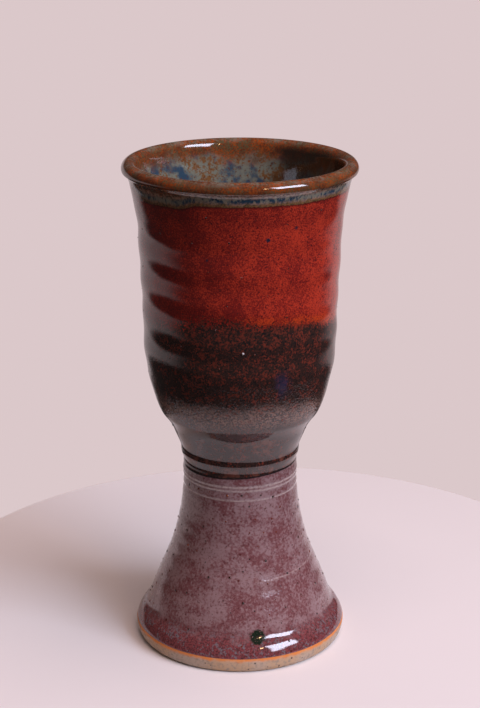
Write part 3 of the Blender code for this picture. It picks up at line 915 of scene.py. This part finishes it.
TABLE_CENTRE = (8.8, 23.4)
TABLE_RADIUS = 138.0
TABLE_THICKNESS = 14.0
TABLE_EDGE = 1.5
TABLE_WHITE = (0.775, 0.765, 0.775)
WALL = (0.708, 0.578, 0.591)
ROOM_WALL = (0.60, 0.49, 0.50)
CEILING = (0.07, 0.052, 0.046)
DARK_ROOM = (0.05, 0.042, 0.04)
DARK_FLOOR = (0.035, 0.03, 0.03)
DARK_SIDE = (0.342, -0.940, 1.0)  # towards the camera's side, to the right and up
BEHIND = (0.50, 0.38, 0.37)
UPPER_ROOM = (0.09, 0.07, 0.065)
FRONT = (0.04, 0.032, 0.03)
WINDOW = {"azimuth": 53, "elevation": 34, "distance": 4000, "width": 2120, "height": 1500, "watts": 140.0}
WINDOW_LIGHT = (0.75, 0.81, 1.0)
BOUNCE = {"azimuth": 45, "elevation": 72, "distance": 4000, "width": 3000, "height": 3000, "watts": 128.0}
BOUNCE_LIGHT = (1.0, 0.71, 0.66)
LAMP = {"azimuth": 26, "elevation": 34, "distance": 2000, "radius": 60, "watts": 6.0}
LAMP_LIGHT = (1.0, 0.62, 0.3)
LIT_HEIGHT = 110.0
CAMERA_PLACE = (0.0, -583.8, 299.8)
CAMERA_DOWN = 18.15  # degrees
CAMERA_LENS = 86.4
CAMERA_SENSOR = 36.0


def linked(name, data):
    """A new object of that data in the scene."""
    made = bpy.data.objects.new(name, data)
    bpy.context.scene.collection.objects.link(made)
    return made


def seen_from_pot(azimuth, elevation, distance, **_):
    """A place in metres: azimuth 0 is in front, on the camera's side, and goes round to the right."""
    level = distance * math.cos(math.radians(elevation))
    across = level * math.sin(math.radians(azimuth))
    deep = -level * math.cos(math.radians(azimuth))
    return Vector((across, deep, LIT_HEIGHT + distance * math.sin(math.radians(elevation)))) * MM


white, tree, shader = new_material("white_laminate")
where = millimetres(tree)
finish_surface(
    tree,
    shader,
    blend(tree, cloud(tree, where, 60.0, 81.0), TABLE_WHITE, tuple(0.97 * c for c in TABLE_WHITE)),
    sums(tree, "MULTIPLY_ADD", cloud(tree, where, 20.0, 82.0), 0.1, 0.5),
    sums(tree, "MULTIPLY", cloud(tree, where, 0.6, 83.0), 0.01),
)
easing = np.radians(np.arange(0, 91, 15))
eased = np.column_stack([TABLE_RADIUS + TABLE_EDGE * (np.sin(easing) - 1), TABLE_EDGE * (np.cos(easing) - 1)])
table_section = np.vstack([(0.0, 0.0), eased, (TABLE_RADIUS, -TABLE_THICKNESS), (0.0, -TABLE_THICKNESS)])
table = thrown("table_top", table_section, NO_RINGS, white, **UNMARKED)
table.data.transform(Matrix.Translation((TABLE_CENTRE[0] * MM, TABLE_CENTRE[1] * MM, 0.0)))

for name, panel, colour in (("window", WINDOW, WINDOW_LIGHT), ("ceiling_bounce", BOUNCE, BOUNCE_LIGHT)):
    light = linked(name, bpy.data.lights.new(name, "AREA"))
    light.location = seen_from_pot(**panel)
    from_pot = light.location - Vector((0, 0, LIT_HEIGHT * MM))
    light.rotation_euler = from_pot.to_track_quat("Z", "Y").to_euler()
    light.data.shape = "RECTANGLE"
    light.data.size = panel["width"] * MM
    light.data.size_y = panel["height"] * MM
    light.data.energy = panel["watts"]
    light.data.color = colour
    light.visible_glossy = panel is WINDOW
lamp = linked("lamp", bpy.data.lights.new("lamp", "POINT"))
lamp.location = seen_from_pot(**LAMP)
lamp.data.shadow_soft_size = LAMP["radius"] * MM
lamp.data.energy = LAMP["watts"]
lamp.data.color = LAMP_LIGHT

room = bpy.data.worlds.new("room")
room.use_nodes = True
tree = room.node_tree
direction = tree.nodes.new("ShaderNodeTexCoord").outputs["Generated"]
toward = node(tree, "ShaderNodeSeparateXYZ", {0: direction}).outputs
to_dark = node(tree, "ShaderNodeVectorMath", {0: direction, 1: DARK_SIDE}, operation="DOT_PRODUCT").outputs[1]
# What the glossy glazes mirror: a dark room, pale behind the pot and low at its side, and a dark floor
beside = times(tree, rise(tree, to_dark, -0.1, -0.8), rise(tree, toward["Z"], -0.08, -0.2), 0.9)
pale = sums(tree, "MAXIMUM", rise(tree, to_dark, -0.84, -0.98), beside)
mirrored = blend(tree, pale, DARK_ROOM, ROOM_WALL)
mirrored = blend(tree, rise(tree, toward["Z"], 0.34, 0.55), mirrored, CEILING)
sideways = sums(tree, "ABSOLUTE", toward["X"])
on_floor = sums(tree, "MULTIPLY_ADD", sideways, -0.106, toward["Z"])
mirrored = blend(tree, rise(tree, on_floor, -0.395, -0.465), mirrored, DARK_FLOOR)
# What lights the pot softly: little from the room in front and above, more from the wall behind
soft = blend(tree, rise(tree, toward["Y"], 0.1, 0.5), FRONT, BEHIND)
soft = blend(tree, rise(tree, toward["Z"], 0.4, 0.6), soft, UPPER_ROOM)
soft = blend(tree, rise(tree, toward["Z"], -0.345, -0.40), soft, DARK_FLOOR)
ray = tree.nodes.new("ShaderNodeLightPath").outputs
around = blend(tree, ray["Is Glossy Ray"], soft, mirrored)
tree.links.new(blend(tree, ray["Is Camera Ray"], around, WALL), tree.nodes["Background"].inputs["Color"])
bpy.context.scene.world = room

camera = linked("camera", bpy.data.cameras.new("camera"))
camera.location = Vector(CAMERA_PLACE) * MM
camera.rotation_euler = (math.radians(90 - CAMERA_DOWN), 0, 0)
camera.data.lens = CAMERA_LENS
camera.data.sensor_width = CAMERA_SENSOR
bpy.context.scene.camera = camera
bpy.context.scene.view_settings.view_transform = "Standard"
